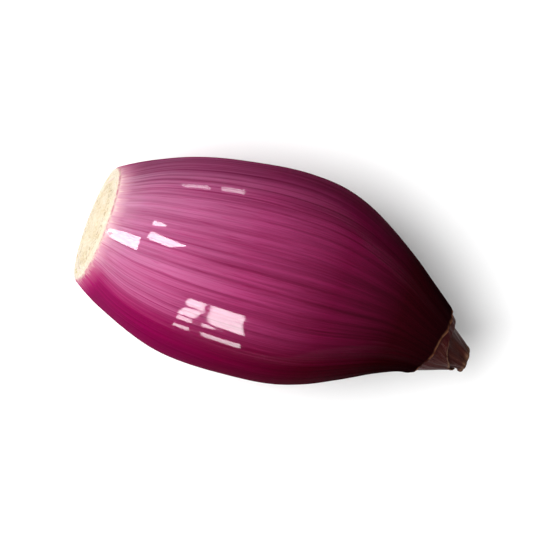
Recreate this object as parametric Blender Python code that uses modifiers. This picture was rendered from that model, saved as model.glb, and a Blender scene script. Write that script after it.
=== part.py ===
"""A small elongated red onion, peeled to its outer fleshy scale and laid on its side.

The bulb grew as one piece, so it is one solid. It is turned from a profile, and its surface is then
moved by a few rules: out of round, low lengthwise ribs, slanted scale mouths at a twisted neck, a knife
cut that isn't quite square at the root, and a bowed axis. Root scars are fused to the cut face, and the
lowest point of the belly is taken flat, where the bulb rests.

Frame: metres, +Z up, +X from the root end to the neck, origin on the surface that it rests on.
"""

import math
import random

import bmesh
import bpy
from mathutils import Matrix, Vector

MM = 0.001

# Driving dimensions, measured along and across the bulb's own axis
BULB_LENGTH = 67.5 * MM
BELLY_RADIUS = 18.7 * MM
ROOT_CUT_RADIUS = 10.2 * MM
PLATE_RADIUS = 7.7 * MM

# The outside from the root cut to the first scale mouth: share of the length, share of the belly radius
BELLY_OUTLINE = (
    (0.000, 0.545),
    (0.035, 0.630),
    (0.090, 0.735),
    (0.170, 0.855),
    (0.260, 0.948),
    (0.360, 0.996),
    (0.460, 1.000),
    (0.550, 0.964),
    (0.630, 0.875),
    (0.705, 0.738),
    (0.780, 0.575),
    (0.845, 0.436),
    (0.895, 0.340),
)
RINGS_PER_SPAN = 2

# The neck: each scale ends in a slanted mouth, and the next one comes out of it
FIRST_MOUTH, FIRST_MOUTH_WIDTH = BELLY_OUTLINE[-1]
SECOND_MOUTH = 0.950
SECOND_MOUTH_RADIUS = 4.1 * MM
MOUTH_STEP = 0.45 * MM
MOUTH_EDGE = 0.20 * MM
MOUTH_SLANTS = ((FIRST_MOUTH, 1.6 * MM, 4.5 * MM), (SECOND_MOUTH, -2.1 * MM, 2.7 * MM))
HIGH_SIDE = math.radians(126.0)
NECK_TIP_RADIUS = 2.3 * MM
TIP_DOME = 0.9 * MM
TIP_RINGS = 3
NECK_TAPER = 0.55
NECK_TWIST = math.radians(32.0)
TWIST_START = 0.72

# The cut face at the root: a ring of white flesh, a groove, and the woody plate
FLESH_CHAMFER = 0.35 * MM
GROOVE_WIDTH = 0.55 * MM
GROOVE_DEPTH = 0.45 * MM
PLATE_RISE = 0.55 * MM
PLATE_RINGS = 4
ROOT_CUT_TILT = math.radians(9.5)
ROOT_CUT_REACH = 9.0 * MM

# Root scars, in rings on the plate: ring radius as a share of the plate's, and how many
SCAR_RINGS = ((0.80, 13), (0.42, 6))
SCAR_RADIUS = 0.55 * MM
SCAR_SIZES = (0.70, 1.15)
SCAR_RISE_SHARE = 0.40
SCAR_WANDER = 0.25

# Ribs along the bulb, lowest at the belly
RIBS = 30
SIDES_PER_RIB = 4
RIB_HEIGHT = 0.26 * MM
RIB_STRENGTHS = (0.45, 1.00)
RIB_FADE = 0.85
RIB_FADE_CENTRE, RIB_FADE_REACH = 0.57, 0.46
RIB_START = 4.0 * MM
RIB_END, RIB_END_REACH = 0.80, 0.20
RIB_SPACING_WAVES = ((2, 0.030), (3, 0.024), (5, 0.014))
SEED = 11

# How the bulb is out of true
OVAL = 0.022
THREE_SIDED = 0.011
THREE_SIDED_TURN = math.radians(46.0)
SWELL_CENTRE, SWELL_REACH = 0.42, 0.55
BOW = 3.1 * MM
BOW_PEAK = 0.76

# The rest: the axis leans neck down until the weight is over the flat spot
LEAN = math.radians(4.5)
FLAT_DEPTH = 0.55 * MM

SKIN_COLOUR = (0.33, 0.012, 0.095, 1.0)
SKIN_ROUGHNESS = 0.25
SHARP_ANGLE = math.radians(35.0)

MERGE_WITHIN = 0.01 * MM
CUT_TOLERANCE = 0.001 * MM


def clear_scene():
    for obj in list(bpy.data.objects):
        bpy.data.objects.remove(obj)


def smooth_through(points, per_span):
    """Catmull-Rom points through the given ones, with per_span steps from each to the next."""
    ends = [points[0]] + list(points) + [points[-1]]
    out = []
    for a, b, c, d in zip(ends, ends[1:], ends[2:], ends[3:]):
        for step in range(per_span):
            t = step / per_span
            out.append(
                tuple(
                    0.5 * (2 * q + (r - p) * t + (2 * p - 5 * q + 4 * r - s) * t * t
                           + (3 * q - p - 3 * r + s) * t ** 3)
                    for p, q, r, s in zip(a, b, c, d)
                )
            )
    out.append(tuple(points[-1]))
    return out


def neck_end():
    """(radius, height) from the centre of the tip's low dome down to just above the first mouth."""
    turns = [math.pi / 2 * ring / TIP_RINGS for ring in range(TIP_RINGS + 1)]
    dome = [
        (NECK_TIP_RADIUS * math.sin(turn), BULB_LENGTH - TIP_DOME * (1 - math.cos(turn)))
        for turn in turns
    ]
    return [
        *dome,
        (SECOND_MOUTH_RADIUS - MOUTH_STEP, SECOND_MOUTH * BULB_LENGTH + MOUTH_EDGE),
        (SECOND_MOUTH_RADIUS, SECOND_MOUTH * BULB_LENGTH),
        (FIRST_MOUTH_WIDTH * BELLY_RADIUS - MOUTH_STEP, FIRST_MOUTH * BULB_LENGTH + MOUTH_EDGE),
    ]


def belly():
    """(radius, height) of the outer scale, from its mouth down to the rim of the root cut."""
    outline = smooth_through(BELLY_OUTLINE, RINGS_PER_SPAN)
    above_rim = reversed(outline[1:])
    return [(width * BELLY_RADIUS, along * BULB_LENGTH) for along, width in above_rim]


def plate_height(share):
    """The woody plate is a low dome that bulges down from the cut, which is at height 0."""
    return -PLATE_RISE * (1 - share ** 2)


def root_face():
    """(radius, height) from the outer edge of the cut to its centre."""
    shares = [ring / PLATE_RINGS for ring in range(PLATE_RINGS, -1, -1)]
    return [
        (ROOT_CUT_RADIUS, FLESH_CHAMFER),
        (ROOT_CUT_RADIUS - FLESH_CHAMFER, 0.0),
        (PLATE_RADIUS + GROOVE_WIDTH, 0.0),
        (PLATE_RADIUS + GROOVE_WIDTH / 2, GROOVE_DEPTH),
        *((share * PLATE_RADIUS, plate_height(share)) for share in shares),
    ]


def turned_blank():
    """The bulb turned about Z, root down, as a closed mesh object."""
    points = [(radius, 0.0, height) for radius, height in neck_end() + belly() + root_face()]
    edges = [(i, i + 1) for i in range(len(points) - 1)]
    mesh = bpy.data.meshes.new("turned_blank")
    mesh.from_pydata(points, edges, [])
    blank = bpy.data.objects.new("turned_blank", mesh)
    bpy.context.scene.collection.objects.link(blank)
    turn = blank.modifiers.new("turn", "SCREW")
    turn.axis = "Z"
    turn.steps = turn.render_steps = RIBS * SIDES_PER_RIB
    turn.use_merge_vertices = True
    turn.merge_threshold = MERGE_WITHIN
    return blank


def falloff(distance, reach):
    """1 at the place itself, easing to 0 a reach or more away."""
    share = min(abs(distance) / reach, 1.0)
    return 1 - share * share * (3 - 2 * share)


def rib_strengths():
    """How strongly each rib stands out, as a share of full height."""
    draw = random.Random(SEED)
    return [draw.uniform(*RIB_STRENGTHS) for _ in range(RIBS)]


def rib_rise(angle, height, strengths):
    """Height of the ribs: full towards the root and the neck, and none on the cut face or the tip."""
    phase = angle / math.tau * RIBS
    along = height / BULB_LENGTH
    faded = 1 - RIB_FADE * falloff(along - RIB_FADE_CENTRE, RIB_FADE_REACH)
    start = min(max(height / RIB_START, 0.0), 1.0)
    end = falloff(max(along - RIB_END, 0.0), RIB_END_REACH)
    crest = 0.5 * (1 - math.cos(math.tau * phase))
    return RIB_HEIGHT * strengths[int(phase) % RIBS] * faded * start * end * crest


def mouth_slant(height, angle):
    """How far up or down the scale mouths slant at this side of the neck."""
    lean = math.cos(angle - HIGH_SIDE)
    return sum(
        slant * lean * falloff(height - mouth * BULB_LENGTH, reach)
        for mouth, slant, reach in MOUTH_SLANTS
    )


def bow(along):
    """Sideways shift of the axis, which curves out from the root and back in at the neck."""
    if along < BOW_PEAK:
        return BOW * math.sin(math.pi / 2 * max(along, 0.0) / BOW_PEAK) ** 2
    return BOW * math.cos(math.pi / 2 * (along - BOW_PEAK) / (1 - BOW_PEAK))


def grown(point, strengths):
    """Where a point of the turned blank lies on the grown bulb."""
    radius = math.hypot(point.x, point.y)
    angle = math.atan2(point.y, point.x) % math.tau
    along = point.z / BULB_LENGTH

    twist = NECK_TWIST * (max(along - TWIST_START, 0.0) / (1 - TWIST_START)) ** 2
    spacing = sum(wave * math.sin(count * angle + count) for count, wave in RIB_SPACING_WAVES)
    side = angle + twist + spacing
    swell = falloff(along - SWELL_CENTRE, SWELL_REACH)
    oval = OVAL * math.cos(2 * side) + THREE_SIDED * math.cos(3 * side + THREE_SIDED_TURN)
    radius = radius * (1 + swell * oval) + rib_rise(angle, point.z, strengths)

    slant = mouth_slant(point.z, side)
    radius -= NECK_TAPER * slant * min(radius / NECK_TIP_RADIUS, 1.0)
    cut_tilt = math.tan(ROOT_CUT_TILT) * radius * math.cos(side) * falloff(point.z, ROOT_CUT_REACH)
    return Vector((
        radius * math.cos(side),
        radius * math.sin(side) + bow(along),
        point.z + slant - cut_tilt,
    ))


def root_scars(strengths):
    """Low domes on the woody plate, where the roots were cut, as one object of separate closed domes."""
    draw = random.Random(SEED)
    domes = bmesh.new()
    for share, count in SCAR_RINGS:
        ring = share * PLATE_RADIUS
        for number in range(count):
            angle = math.tau * (number + draw.uniform(-SCAR_WANDER, SCAR_WANDER)) / count
            on_plate = Vector((ring * math.cos(angle), ring * math.sin(angle), plate_height(share)))
            bmesh.ops.create_uvsphere(
                domes,
                u_segments=8,
                v_segments=6,
                radius=SCAR_RADIUS * draw.uniform(*SCAR_SIZES),
                matrix=Matrix.Translation(grown(on_plate, strengths))
                @ Matrix.Diagonal((1, 1, SCAR_RISE_SHARE, 1)),
            )
    mesh = bpy.data.meshes.new("root_scars")
    domes.to_mesh(mesh)
    domes.free()
    scars = bpy.data.objects.new("root_scars", mesh)
    bpy.context.scene.collection.objects.link(scars)
    return scars


def evaluated_mesh(obj):
    """The object's mesh with its modifiers applied."""
    graph = bpy.context.evaluated_depsgraph_get()
    return bpy.data.meshes.new_from_object(obj.evaluated_get(graph))


def grown_bulb():
    """The turned blank moved to the grown shape, with its root scars fused on, still upright."""
    blank = turned_blank()
    mesh = evaluated_mesh(blank)
    mesh.name = "bulb"
    bpy.data.objects.remove(blank)
    strengths = rib_strengths()
    for vertex in mesh.vertices:
        vertex.co = grown(vertex.co, strengths)
    bulb = bpy.data.objects.new("bulb", mesh)
    bpy.context.scene.collection.objects.link(bulb)

    scars = root_scars(strengths)
    fuse = bulb.modifiers.new("scars", "BOOLEAN")
    fuse.operation = "UNION"
    fuse.object = scars
    fuse.use_self = True
    bulb.data = evaluated_mesh(bulb)
    bulb.modifiers.clear()
    bpy.data.objects.remove(scars)
    return bulb


def lay_down(bulb):
    """Lays the bulb along +X with its neck low, takes its lowest point flat, and centres it on the origin."""
    bulb.data.transform(Matrix.Rotation(math.pi / 2 + LEAN, 4, "Y"))
    surface = min(vertex.co.z for vertex in bulb.data.vertices) + FLAT_DEPTH
    shape = bmesh.new()
    shape.from_mesh(bulb.data)
    found = bmesh.ops.bisect_plane(
        shape,
        geom=shape.verts[:] + shape.edges[:] + shape.faces[:],
        dist=CUT_TOLERANCE,
        plane_co=(0, 0, surface),
        plane_no=(0, 0, 1),
        clear_inner=True,
    )
    rim = [item for item in found["geom_cut"] if isinstance(item, bmesh.types.BMEdge)]
    bmesh.ops.contextual_create(shape, geom=rim)
    bmesh.ops.recalc_face_normals(shape, faces=shape.faces[:])
    shape.to_mesh(bulb.data)
    shape.free()
    xs = [vertex.co.x for vertex in bulb.data.vertices]
    ys = [vertex.co.y for vertex in bulb.data.vertices]
    to_origin = Vector((-(min(xs) + max(xs)) / 2, -(min(ys) + max(ys)) / 2, -surface))
    bulb.data.transform(Matrix.Translation(to_origin))


def skin_material():
    material = bpy.data.materials.new("red_onion_skin")
    material.use_nodes = True
    shader = material.node_tree.nodes["Principled BSDF"]
    shader.inputs["Base Color"].default_value = SKIN_COLOUR
    shader.inputs["Roughness"].default_value = SKIN_ROUGHNESS
    shader.inputs["Metallic"].default_value = 0.0
    return material


def main():
    clear_scene()
    onion = bpy.data.collections.new("peeled_red_onion")
    bpy.context.scene.collection.children.link(onion)
    bulb = grown_bulb()
    lay_down(bulb)
    bpy.context.scene.collection.objects.unlink(bulb)
    onion.objects.link(bulb)
    bulb.data.materials.clear()
    bulb.data.materials.append(skin_material())
    bulb.data.shade_smooth()
    bulb.data.set_sharp_from_angle(angle=SHARP_ANGLE)


main()
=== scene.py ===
# %% [markdown]
# # A peeled red onion on a white table
#
# The object is one small, long red onion. Its papery skins are off, so the outermost fleshy scale shows:
# wet, glossy and magenta, pale at the root and almost black at the neck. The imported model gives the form
# at its real size. This script makes the surface that a camera close by would see, and lights it.
#
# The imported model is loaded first, and nothing below moves or resizes it. It could be loaded at the end,
# to compare, but then no piece could be measured against it on the way.

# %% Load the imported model
import math
import random

import bpy
import numpy as np
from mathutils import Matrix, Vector, noise


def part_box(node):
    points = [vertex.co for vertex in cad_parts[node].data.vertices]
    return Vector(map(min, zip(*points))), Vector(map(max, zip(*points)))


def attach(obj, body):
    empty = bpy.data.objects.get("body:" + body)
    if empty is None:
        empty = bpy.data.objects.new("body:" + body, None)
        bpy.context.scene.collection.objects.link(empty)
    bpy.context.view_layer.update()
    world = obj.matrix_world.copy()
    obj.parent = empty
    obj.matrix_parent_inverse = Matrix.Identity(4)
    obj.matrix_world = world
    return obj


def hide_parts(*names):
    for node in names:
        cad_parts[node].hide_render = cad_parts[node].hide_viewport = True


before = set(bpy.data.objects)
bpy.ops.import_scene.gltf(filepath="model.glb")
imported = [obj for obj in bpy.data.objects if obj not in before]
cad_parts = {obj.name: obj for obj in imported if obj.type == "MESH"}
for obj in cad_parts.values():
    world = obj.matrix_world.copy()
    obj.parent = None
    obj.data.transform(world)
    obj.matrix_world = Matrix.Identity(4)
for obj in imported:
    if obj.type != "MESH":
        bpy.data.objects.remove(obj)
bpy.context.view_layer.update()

BODY = "root"
NODE = "bulb"
MM = 0.001
low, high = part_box(NODE)
print("packed bulb, mm:", [round(side / MM, 1) for side in high - low])

# %% [markdown]
# ## Camera
#
# The photograph looks straight down, from far enough away that nothing looks bent by perspective. A long
# lens does the same here. The bulb lies along X, and in the picture it points right and a little down,
# so the camera is turned about its own axis. Turning the bulb would work too, but its place is fixed.

# %% Camera above the bulb
LENS = 150.0
CAMERA_HEIGHT = 0.415
PICTURE_TURN = math.radians(20.5)
NEAREST_SEEN = 0.01

bpy.ops.object.camera_add(location=(0.0, 0.0, CAMERA_HEIGHT), rotation=(0.0, 0.0, PICTURE_TURN))
camera = bpy.context.object
camera.data.lens = LENS
camera.data.clip_start = NEAREST_SEEN
bpy.context.scene.camera = camera
picture_width = camera.data.sensor_width / LENS * CAMERA_HEIGHT
print("the picture spans", round(picture_width / MM), "mm of the table")

# %% [markdown]
# ## How the bulb is measured
#
# An onion grows round an axis, so it is easiest to describe standing up, root down: how wide is it at
# each height? These are the same driving sizes as in the solid model. Widths are shares of the belly's
# radius and heights are shares of the length, so one number changes the whole bulb. The outline could be
# drawn as a curve in the viewport instead, but a table of numbers is easier to read and to change.

# %% Driving sizes
BULB_LENGTH = 67.5 * MM
BELLY_RADIUS = 18.7 * MM
ROOT_CUT_RADIUS = 10.2 * MM
PLATE_RADIUS = 7.7 * MM
BELLY_OUTLINE = (
    (0.000, 0.545),
    (0.035, 0.630),
    (0.090, 0.735),
    (0.170, 0.855),
    (0.260, 0.948),
    (0.360, 0.996),
    (0.460, 1.000),
    (0.550, 0.964),
    (0.630, 0.875),
    (0.705, 0.738),
    (0.780, 0.575),
    (0.845, 0.436),
    (0.895, 0.340),
)
MOUTH_HEIGHTS = (BELLY_OUTLINE[-1][0] * BULB_LENGTH, 0.950 * BULB_LENGTH)
MOUTH_RADII = (BELLY_OUTLINE[-1][1] * BELLY_RADIUS, 4.1 * MM)
print("mouths of the scales, mm above the root cut:", [round(height / MM, 1) for height in MOUTH_HEIGHTS])

# %% [markdown]
# ## Rules of growth: ribs
#
# A turned shape is too perfect for a plant. The next four cells each bend it a little. A sculptor would
# push the surface by hand. Here the same pushes are formulas on all points at once, so they stay
# editable, and they are the ones that the solid was grown with.
#
# The first rule is the ribs: low rounded ridges from root to neck, with sharper furrows between them.
# They show most near the root and the neck and are stretched almost smooth at the belly. Each rib has
# its own strength, drawn at random with a fixed seed, so that every run grows the same bulb.

# %% Ribs
RIBS = 30
RIB_HEIGHT = 0.075 * MM
RIB_STRENGTHS = (0.45, 1.00)
RIB_START = 4.0 * MM
RIB_FADE = 0.85
RIB_FADE_CENTRE, RIB_FADE_REACH = 0.57, 0.46
RIB_END, RIB_END_REACH = 0.80, 0.20
FURROW_SHARPNESS = 3.2
SEED = 11

draw = random.Random(SEED)
rib_strengths = np.array([draw.uniform(*RIB_STRENGTHS) for _ in range(RIBS)])


def falloff(distance, reach):
    """1 at the place itself, easing to 0 a reach or more away."""
    share = np.minimum(np.abs(distance) / reach, 1.0)
    return 1 - share * share * (3 - 2 * share)


def rib_rise(angle, height):
    """How far the ribs stand out at each point of the upright shape."""
    phase = angle / math.tau * RIBS
    along = height / BULB_LENGTH
    faded = 1 - RIB_FADE * falloff(along - RIB_FADE_CENTRE, RIB_FADE_REACH)
    start = np.clip(height / RIB_START, 0, 1)
    end = falloff(np.maximum(along - RIB_END, 0), RIB_END_REACH)
    crest = 1 - np.abs(np.cos(math.pi * phase)) ** FURROW_SHARPNESS
    return RIB_HEIGHT * rib_strengths[phase.astype(int) % RIBS] * faded * start * end * crest


print("ribs:", RIBS, "and at the belly", round(math.tau * BELLY_RADIUS / RIBS / MM, 1), "mm apart")

# %% [markdown]
# ## Rules of growth: section and axis
#
# The bulb isn't round in section but slightly oval and three-sided, most of all at the belly, because the
# soil that it grew in gave way more on some sides. Its axis bows to one side too, and comes back at the
# neck. Cosines give a section two and three soft sides without a seam. A lattice or a curve modifier
# could bend the axis, but a formula bends it in the same way for every piece.

# %% Section and axis
OVAL = 0.022
THREE_SIDED = 0.011
THREE_SIDED_TURN = math.radians(46.0)
SWELL_CENTRE, SWELL_REACH = 0.42, 0.55
BOW = 3.1 * MM
BOW_PEAK = 0.76


def swelling(side, along):
    """How much wider than round the section is, as a share of its radius."""
    unround = OVAL * np.cos(2 * side) + THREE_SIDED * np.cos(3 * side + THREE_SIDED_TURN)
    return falloff(along - SWELL_CENTRE, SWELL_REACH) * unround


def bow(along):
    """How far the axis has bowed to one side."""
    rising = BOW * np.sin(math.pi / 2 * np.clip(along, 0, BOW_PEAK) / BOW_PEAK) ** 2
    falling = BOW * np.cos(math.pi / 2 * (along - BOW_PEAK) / (1 - BOW_PEAK))
    return np.where(along < BOW_PEAK, rising, falling)


print("the axis bows", round(BOW / MM, 1), "mm, most at", round(BOW_PEAK * BULB_LENGTH / MM, 1), "mm")

# %% [markdown]
# ## Rules of growth: both ends
#
# The scales end in slanted mouths: one side of each is higher, and there the neck is also drawn in. The
# knife has cut the root a few degrees askew. Both are the same kind of push, up on one side and down on
# the other, which fades out with the distance from the mouth or the cut. A cutting plane would give the
# cut too, but it would leave a hard edge, and the rim of a real bulb gives way a little under the knife.

# %% Slanted mouths and root cut
MOUTH_SLANTS = ((MOUTH_HEIGHTS[0], 1.6 * MM, 4.5 * MM), (MOUTH_HEIGHTS[1], -2.1 * MM, 2.7 * MM))
HIGH_SIDE = math.radians(126.0)
ROOT_CUT_TILT = math.radians(9.5)
ROOT_CUT_REACH = 9.0 * MM


def mouth_slant(side, height):
    """How far a point is raised, because it is near a mouth that slants."""
    return sum(
        rise * np.cos(side - HIGH_SIDE) * falloff(height - mouth, reach)
        for mouth, rise, reach in MOUTH_SLANTS
    )


def root_askew(radius, side, height):
    """How far a point is lowered, because it is near a root cut that is askew."""
    return math.tan(ROOT_CUT_TILT) * radius * np.cos(side) * falloff(height, ROOT_CUT_REACH)


print("the root cut leans", round(math.degrees(ROOT_CUT_TILT), 1), "degrees")

# %% [markdown]
# ## Rules of growth: all of them together
#
# The last rule twists the neck, as the leaves twisted while they dried, and spaces the ribs unevenly.
# Both change the side that a point is on, so they come first. Then the radius and the height follow from
# that side. The order matters: a neck that is twisted after it is slanted would turn its mouths as well.

# %% Grow a turned shape
NECK_TIP_RADIUS = 2.3 * MM
NECK_TAPER = 0.55
NECK_TWIST = math.radians(32.0)
TWIST_START = 0.72
RIB_SPACING_WAVES = ((2, 0.030), (3, 0.024), (5, 0.014))


def grow(points):
    """Moves points of an upright turned shape, as an array of rows, to where they are on the bulb."""
    x, y, height = points.T
    radius = np.hypot(x, y)
    angle = np.arctan2(y, x) % math.tau
    along = height / BULB_LENGTH
    twist = NECK_TWIST * (np.maximum(along - TWIST_START, 0) / (1 - TWIST_START)) ** 2
    side = angle + twist + sum(wave * np.sin(count * angle + count) for count, wave in RIB_SPACING_WAVES)
    inward = np.minimum(radius / ROOT_CUT_RADIUS, 1)
    radius = radius * (1 + swelling(side, along)) + rib_rise(angle, height) * inward
    slant = mouth_slant(side, height)
    radius = radius - NECK_TAPER * slant * np.minimum(radius / NECK_TIP_RADIUS, 1)
    return np.column_stack((
        radius * np.cos(side),
        radius * np.sin(side) + bow(along),
        height + slant - root_askew(radius, side, height),
    ))


turns = np.linspace(0, math.tau, 360)
round_ring = np.column_stack((np.cos(turns), np.sin(turns), np.full(360, 0.5)))
grown_ring = grow(round_ring * (BELLY_RADIUS, BELLY_RADIUS, BULB_LENGTH))
print("a round ring at the belly grows to, mm:", np.round(np.ptp(grown_ring[:, :2], axis=0) / MM, 1))

# %% [markdown]
# ## Noise along the meridians
#
# The finer unevenness comes from noise: smooth random values that are the same on each run. Veins follow
# the meridians, the lines from root to neck, so noise for them is read at (cos, sin, height) of the
# upright shape. Read at a flat angle and height instead, it would show a seam where the angle starts
# again, and it wouldn't be squeezed together at both ends as real veins are.

# %% Noise helpers
def noise_at(rows):
    """Blender's own noise, from -1 to 1, at each row of an array."""
    return np.array([noise.noise(Vector(row)) for row in rows])


def meridians(points):
    """(cos, sin, share of the length) of each point: the coordinates that veins follow."""
    angle = np.arctan2(points[:, 1], points[:, 0])
    return np.column_stack((np.cos(angle), np.sin(angle), points[:, 2] / BULB_LENGTH))


def waves_round(around, layers):
    """Waves round the axis, alike at every height, from (fineness, patch, strength) layers of noise."""
    return sum(
        strength * noise_at(around * (fineness, fineness, 0) + patch)
        for fineness, patch, strength in layers
    )


print("noise at three places round the belly:", np.round(noise_at(meridians(grown_ring[::120]) * 13), 2))

# %% [markdown]
# ## Veins, dents and torn edges
#
# Between the ribs the scale has dozens of fine veins, which stand out a few hundredths of a millimetre,
# and soft dents from handling. The neck has shrunk into folds as it dried, and the mouths of the scales
# are torn. All of these break up reflections, so they make a surface look grown. A
# displace modifier with a texture could raise them too. Here each is one line of arithmetic, and each
# reads its own patch of the noise, so that no two of them line up.

# %% Veins, dents and torn edges
VEIN_FINENESS, VEIN_STRETCH = 13.0, 0.9
VEIN_HEIGHT = 0.032 * MM
SKIN_START = 1.2 * MM
DENT_SIZE = 15.0 * MM
DENT_DEPTH = 0.38 * MM
NECK_FOLDS, NECK_FOLD_STRETCH, NECK_FOLD_PATCH = 5.0, 1.5, 7.3
NECK_FOLD_DEPTH = 0.075
NECK_FOLD_START = 0.66
TORN_EDGE = ((2.2, 3.1, 1.0), (8.8, 9.4, 0.35))
EDGE_RAGGED = 0.40 * MM
EDGE_REACH = 1.3 * MM
STILL_RADIUS = 1.0 * MM


def roughen(points):
    """Adds veins, folds, dents and ragged mouths to the points of an upright turned shape."""
    radius = np.hypot(points[:, 0], points[:, 1])
    around = meridians(points)
    on_skin = np.clip(points[:, 2] / SKIN_START, 0, 1)
    neck = np.clip((around[:, 2] - NECK_FOLD_START) / (1 - NECK_FOLD_START), 0, 1)
    veins = noise_at(around * (VEIN_FINENESS, VEIN_FINENESS, VEIN_STRETCH))
    folds = noise_at(around * (NECK_FOLDS, NECK_FOLDS, NECK_FOLD_STRETCH) + NECK_FOLD_PATCH)
    dents = noise_at(points / DENT_SIZE)
    push = on_skin * (VEIN_HEIGHT * veins + DENT_DEPTH * dents * (1 - neck))
    push = push + radius * NECK_FOLD_DEPTH * neck * folds
    wider = 1 + push / np.maximum(radius, STILL_RADIUS) * np.minimum(radius / STILL_RADIUS, 1)
    at_edge = sum(EDGE_RAGGED * falloff(points[:, 2] - mouth, EDGE_REACH) for mouth in MOUTH_HEIGHTS)
    lift = at_edge * waves_round(around, TORN_EDGE)
    return np.column_stack((points[:, 0] * wider, points[:, 1] * wider, points[:, 2] + lift))


print("veins at the belly are about", round(BELLY_RADIUS / VEIN_FINENESS / MM, 1), "mm wide")

# %% [markdown]
# ## From an outline to a closed skin
#
# A potter's way to a round shape is to turn it. The outline is a chain of points beside the axis, and
# the Spin operator sweeps it once round. Where the outline starts and ends on the axis, the sweep leaves
# a bundle of points on one spot. Merging them closes the poles and the seam. Normals are recalculated
# after that, because a spun shape can come out inside out. A Screw modifier would turn it as well, but
# the operator leaves a plain mesh, whose points the rules of growth can move at once.

# %% Turn an outline
MERGE_WITHIN = 0.002 * MM


def select_only(obj):
    bpy.ops.object.select_all(action="DESELECT")
    obj.select_set(True)
    bpy.context.view_layer.objects.active = obj


def spun(name, outline, steps):
    """A closed mesh object swept round Z from (radius, height) points that start and end on the axis."""
    mesh = bpy.data.meshes.new(name)
    chain = [(i, i + 1) for i in range(len(outline) - 1)]
    mesh.from_pydata([(radius, 0.0, height) for radius, height in outline], chain, [])
    piece = bpy.data.objects.new(name, mesh)
    bpy.context.scene.collection.objects.link(piece)
    select_only(piece)
    bpy.ops.object.mode_set(mode="EDIT")
    bpy.ops.mesh.select_all(action="SELECT")
    bpy.ops.mesh.spin(steps=steps, angle=math.tau, center=(0, 0, 0), axis=(0, 0, 1))
    bpy.ops.mesh.select_all(action="SELECT")
    bpy.ops.mesh.remove_doubles(threshold=MERGE_WITHIN)
    bpy.ops.mesh.normals_make_consistent(inside=False)
    bpy.ops.object.mode_set(mode="OBJECT")
    bpy.ops.object.shade_smooth()
    print(name + ":", len(outline), "outline points,", len(piece.data.polygons), "faces")
    return piece


# %% [markdown]
# ## The points of a mesh as an array
#
# The rules of growth work on all points of a piece at once. Blender hands them over as one flat list of
# numbers and takes them back in the same way, which is far quicker than a loop over the points. Where a
# point was before it was moved would then be lost, so the values that the materials need are kept on the
# mesh as attributes.

# %% Read, move and mark points
def get_points(piece):
    flat = np.empty(len(piece.data.vertices) * 3)
    piece.data.vertices.foreach_get("co", flat)
    return flat.reshape(-1, 3)


def set_points(piece, points):
    piece.data.vertices.foreach_set("co", points.ravel())
    piece.data.update()


def store(piece, name, values):
    """Keeps one number, or one row of three, on each point, for the materials to read."""
    kind, key = ("FLOAT", "value") if values.ndim == 1 else ("FLOAT_VECTOR", "vector")
    kept = piece.data.attributes.new(name, kind, "POINT")
    kept.data.foreach_set(key, values.astype(np.float32).ravel())


# %% [markdown]
# ## The outer scale: its mouth
#
# The outermost scale is the whole belly, and at the neck it ends in a thin rounded lip round a well that
# the next scale comes out of. A ball that is stretched would have its points crowded at the ends and a
# neck without a lip, so an outline that is swept is the better start. These helpers draw the two parts
# of it that each mouth has: half a circle over the lip, and the wall of the well.

# %% Outline of a mouth
LIP = 0.34 * MM
LIP_STEPS = 7
WELL_DEPTH = 2.6 * MM
WELL_STEPS = 8
NECK_SLOPE = 0.53


def arc(middle, radius, start, end, steps):
    """Points of an arc in the outline, from one angle to the other."""
    turns = np.radians(np.linspace(start, end, steps))
    return [(middle[0] + radius * math.cos(t), middle[1] + radius * math.sin(t)) for t in turns]


def lip_outline(mouth):
    """Half a circle over the lip of a scale, from its inner side to its outer side."""
    radius, height = MOUTH_RADII[mouth], MOUTH_HEIGHTS[mouth]
    return arc((radius - LIP / 2, height - LIP / 2), LIP / 2, 180, 0, LIP_STEPS)


def well_outline(mouth, depth):
    """From the axis along the bottom of a well, and up its wall to the lip of that mouth."""
    inner = MOUTH_RADII[mouth] - LIP
    deep = np.linspace(depth, LIP, WELL_STEPS)
    wall = [(inner + NECK_SLOPE * d, MOUTH_HEIGHTS[mouth] - d) for d in deep]
    return [(0.0, MOUTH_HEIGHTS[mouth] - depth), (wall[0][0] / 2, MOUTH_HEIGHTS[mouth] - depth), *wall]


mouth_outline = well_outline(0, WELL_DEPTH) + lip_outline(0)
print("mouth of the outer scale:", len(mouth_outline), "outline points")

# %% [markdown]
# ## The outer scale: belly and cut
#
# From the lip the outline runs down the belly, round the edge of the knife cut, and across the ring of
# cut flesh to a recess for the root plate. The table of widths has only thirteen rows. Straight lines
# between them would show as facets in a wet surface, so a smooth curve is drawn through them. The cut
# edge is rounded, because the flesh gives way there, and the ring has three low grooves where layers
# of the scale end.

# %% Outline of the belly and the cut
RINGS_PER_SPAN = 17
RIM_ROUND = 0.35 * MM
RIM_STEPS = 6
RING_STEPS = 16
RING_INNER = PLATE_RADIUS + 0.45 * MM
RING_GROOVE = 0.10 * MM
RING_GROOVES = 3
FIRST_GROOVE_SHARE = 0.06
RECESS = 0.9 * MM


def smooth_through(points, per_span):
    """Catmull-Rom points through the given ones, with per_span steps from each to the next."""
    ends = [points[0], *points, points[-1]]
    out = []
    for a, b, c, d in zip(ends, ends[1:], ends[2:], ends[3:]):
        for t in np.linspace(0, 1, per_span, endpoint=False):
            p, q, r, s = (np.array(point) for point in (a, b, c, d))
            curve = 2 * q + (r - p) * t + (2 * p - 5 * q + 4 * r - s) * t ** 2
            out.append(tuple(0.5 * (curve + (3 * q - p - 3 * r + s) * t ** 3)))
    return [*out, tuple(points[-1])]


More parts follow.
